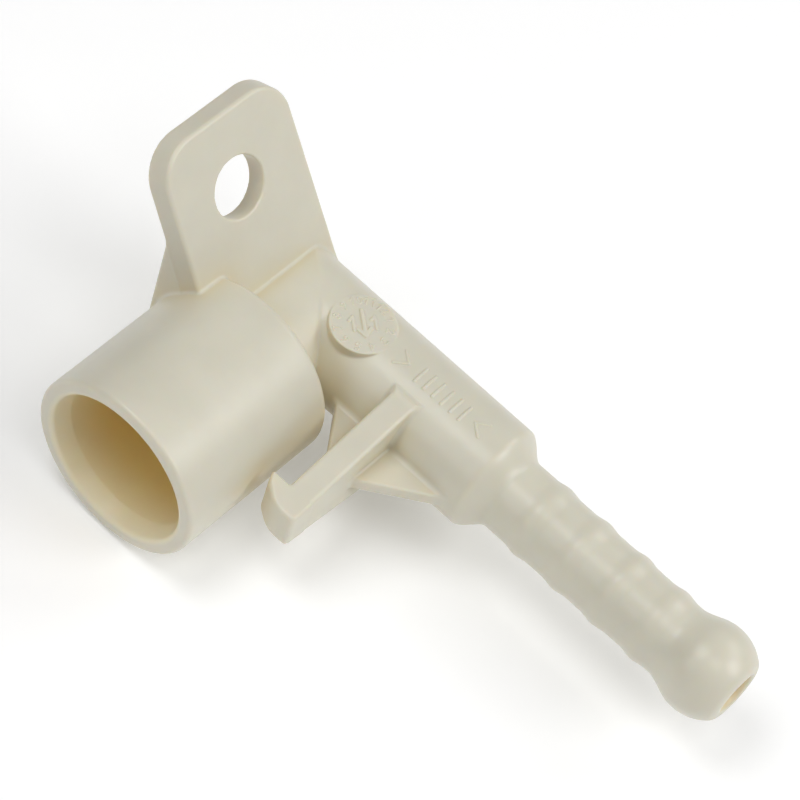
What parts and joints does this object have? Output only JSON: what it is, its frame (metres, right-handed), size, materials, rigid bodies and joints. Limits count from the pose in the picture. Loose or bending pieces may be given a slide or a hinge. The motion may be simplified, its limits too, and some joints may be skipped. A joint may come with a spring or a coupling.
{
  "type": "right-angle hose connector",
  "caption": "Moulded elbow hose connector: round socket at right angles to a beaded hose barb, with a screw ear and a braced snap hook.",
  "frame": {"origin": "bottom centre of the bounding box", "axes": "+X along the tube towards the barb tip, -Y out of the socket mouth, +Z out of the side that carries the dial"},
  "size_m": [0.091, 0.0422, 0.039],
  "materials": {
    "ivory_plastic": "satin moulded, slightly translucent"
  },
  "bodies": {
    "root": {"ball_tip": "ivory_plastic", "barb_bead_1": "ivory_plastic", "barb_bead_2": "ivory_plastic", "barb_bead_3": "ivory_plastic", "barb_bead_4": "ivory_plastic", "barb_land_1": "ivory_plastic", "barb_land_2": "ivory_plastic", "barb_land_3": "ivory_plastic", "barb_land_4": "ivory_plastic", "barb_land_5": "ivory_plastic", "body_tube": "ivory_plastic", "date_dial": "ivory_plastic", "dial_pointer": "ivory_plastic", "dial_tick_1": "ivory_plastic", "dial_tick_10": "ivory_plastic", "dial_tick_11": "ivory_plastic", "dial_tick_12": "ivory_plastic", "dial_tick_2": "ivory_plastic", "dial_tick_3": "ivory_plastic", "dial_tick_4": "ivory_plastic", "dial_tick_5": "ivory_plastic", "dial_tick_6": "ivory_plastic", "dial_tick_7": "ivory_plastic", "dial_tick_8": "ivory_plastic", "dial_tick_9": "ivory_plastic", "ear_gusset": "ivory_plastic", "elbow": "ivory_plastic", "hook_arm": "ivory_plastic", "hook_lip": "ivory_plastic", "hook_web_inner": "ivory_plastic", "hook_web_outer": "ivory_plastic", "mounting_ear": "ivory_plastic", "socket_barrel": "ivory_plastic", "socket_floor": "ivory_plastic", "socket_rim": "ivory_plastic", "tube_bar_1": "ivory_plastic", "tube_bar_2": "ivory_plastic", "tube_bar_3": "ivory_plastic", "tube_bar_4": "ivory_plastic", "tube_bar_5": "ivory_plastic", "tube_bar_6": "ivory_plastic", "tube_chevron_1": "ivory_plastic", "tube_chevron_2": "ivory_plastic", "tube_shoulder": "ivory_plastic"}
  },
  "joints": []
}
